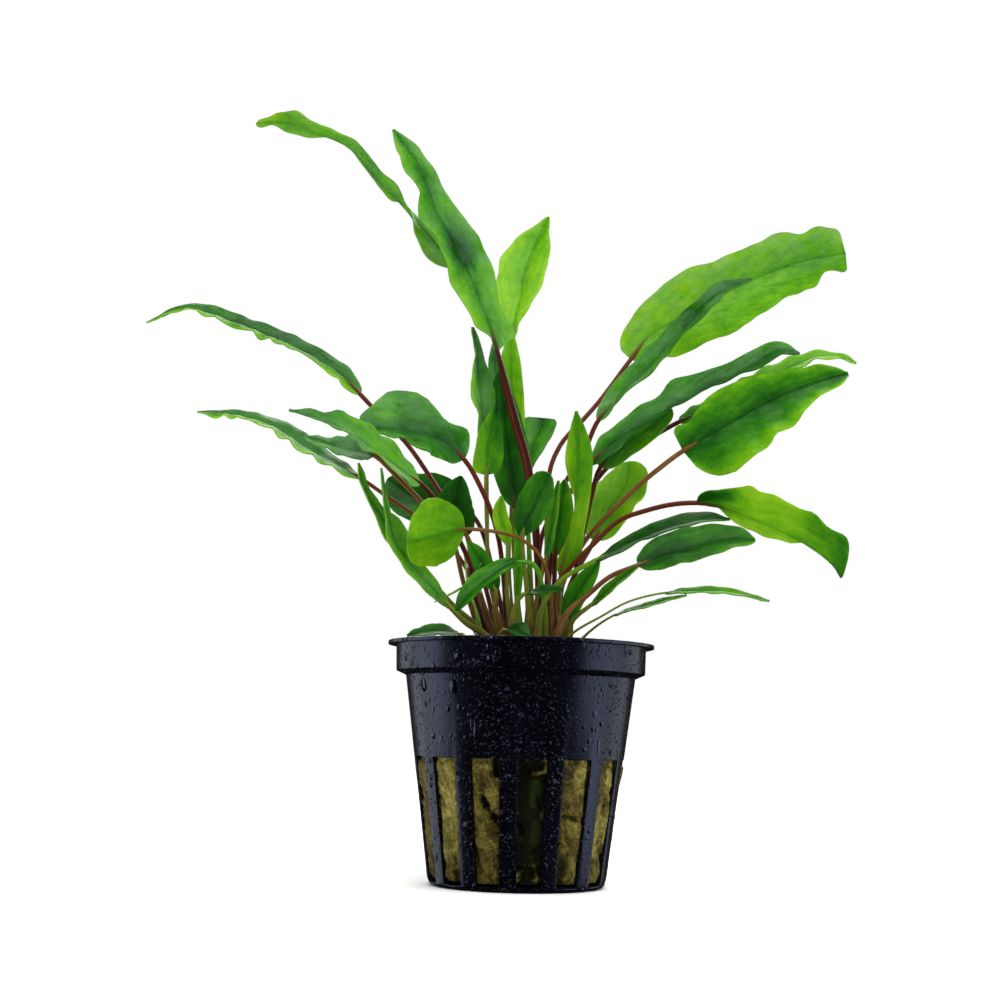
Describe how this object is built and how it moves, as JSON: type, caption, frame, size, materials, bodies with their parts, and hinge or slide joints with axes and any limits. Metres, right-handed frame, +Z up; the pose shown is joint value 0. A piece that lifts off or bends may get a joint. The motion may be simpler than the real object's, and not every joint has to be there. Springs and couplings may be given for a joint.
{
  "type": "potted cryptocoryne",
  "caption": "Marsh plant for an aquarium: narrow green leaves on thin brown stalks, in a black slotted growing pot filled with mineral wool.",
  "frame": {"origin": "middle of the pot's base, on the surface that the pot stands on", "axes": "+Z is up, along the pot's axis; -Y is the front, which faces the viewer; +X is to the viewer's right"},
  "size_m": [0.1604, 0.0636, 0.1722],
  "materials": {
    "pot_plastic": "gloss",
    "mineral_wool": "matte",
    "rootstock": "matte",
    "leaf_green": "satin"
  },
  "bodies": {
    "root": {"pot": "pot_plastic", "mineral_wool": "mineral_wool", "rootstock": "rootstock", "leaf_01": "leaf_green", "leaf_02": "leaf_green", "leaf_03": "leaf_green", "leaf_04": "leaf_green", "leaf_05": "leaf_green", "leaf_06": "leaf_green", "leaf_07": "leaf_green", "leaf_08": "leaf_green", "leaf_09": "leaf_green", "leaf_10": "leaf_green", "leaf_11": "leaf_green", "leaf_12": "leaf_green", "leaf_13": "leaf_green", "leaf_14": "leaf_green", "leaf_15": "leaf_green", "leaf_16": "leaf_green", "leaf_17": "leaf_green", "leaf_18": "leaf_green", "leaf_19": "leaf_green", "leaf_20": "leaf_green", "leaf_21": "leaf_green", "leaf_22": "leaf_green", "leaf_23": "leaf_green", "leaf_24": "leaf_green", "leaf_25": "leaf_green", "leaf_26": "leaf_green", "leaf_27": "leaf_green", "leaf_28": "leaf_green", "leaf_29": "leaf_green", "leaf_30": "leaf_green", "leaf_31": "leaf_green", "leaf_32": "leaf_green", "leaf_33": "leaf_green", "leaf_34": "leaf_green", "leaf_35": "leaf_green", "leaf_36": "leaf_green", "leaf_37": "leaf_green", "leaf_38": "leaf_green", "leaf_39": "leaf_green", "leaf_40": "leaf_green", "leaf_41": "leaf_green", "leaf_42": "leaf_green", "leaf_43": "leaf_green", "leaf_44": "leaf_green"}
  },
  "joints": []
}
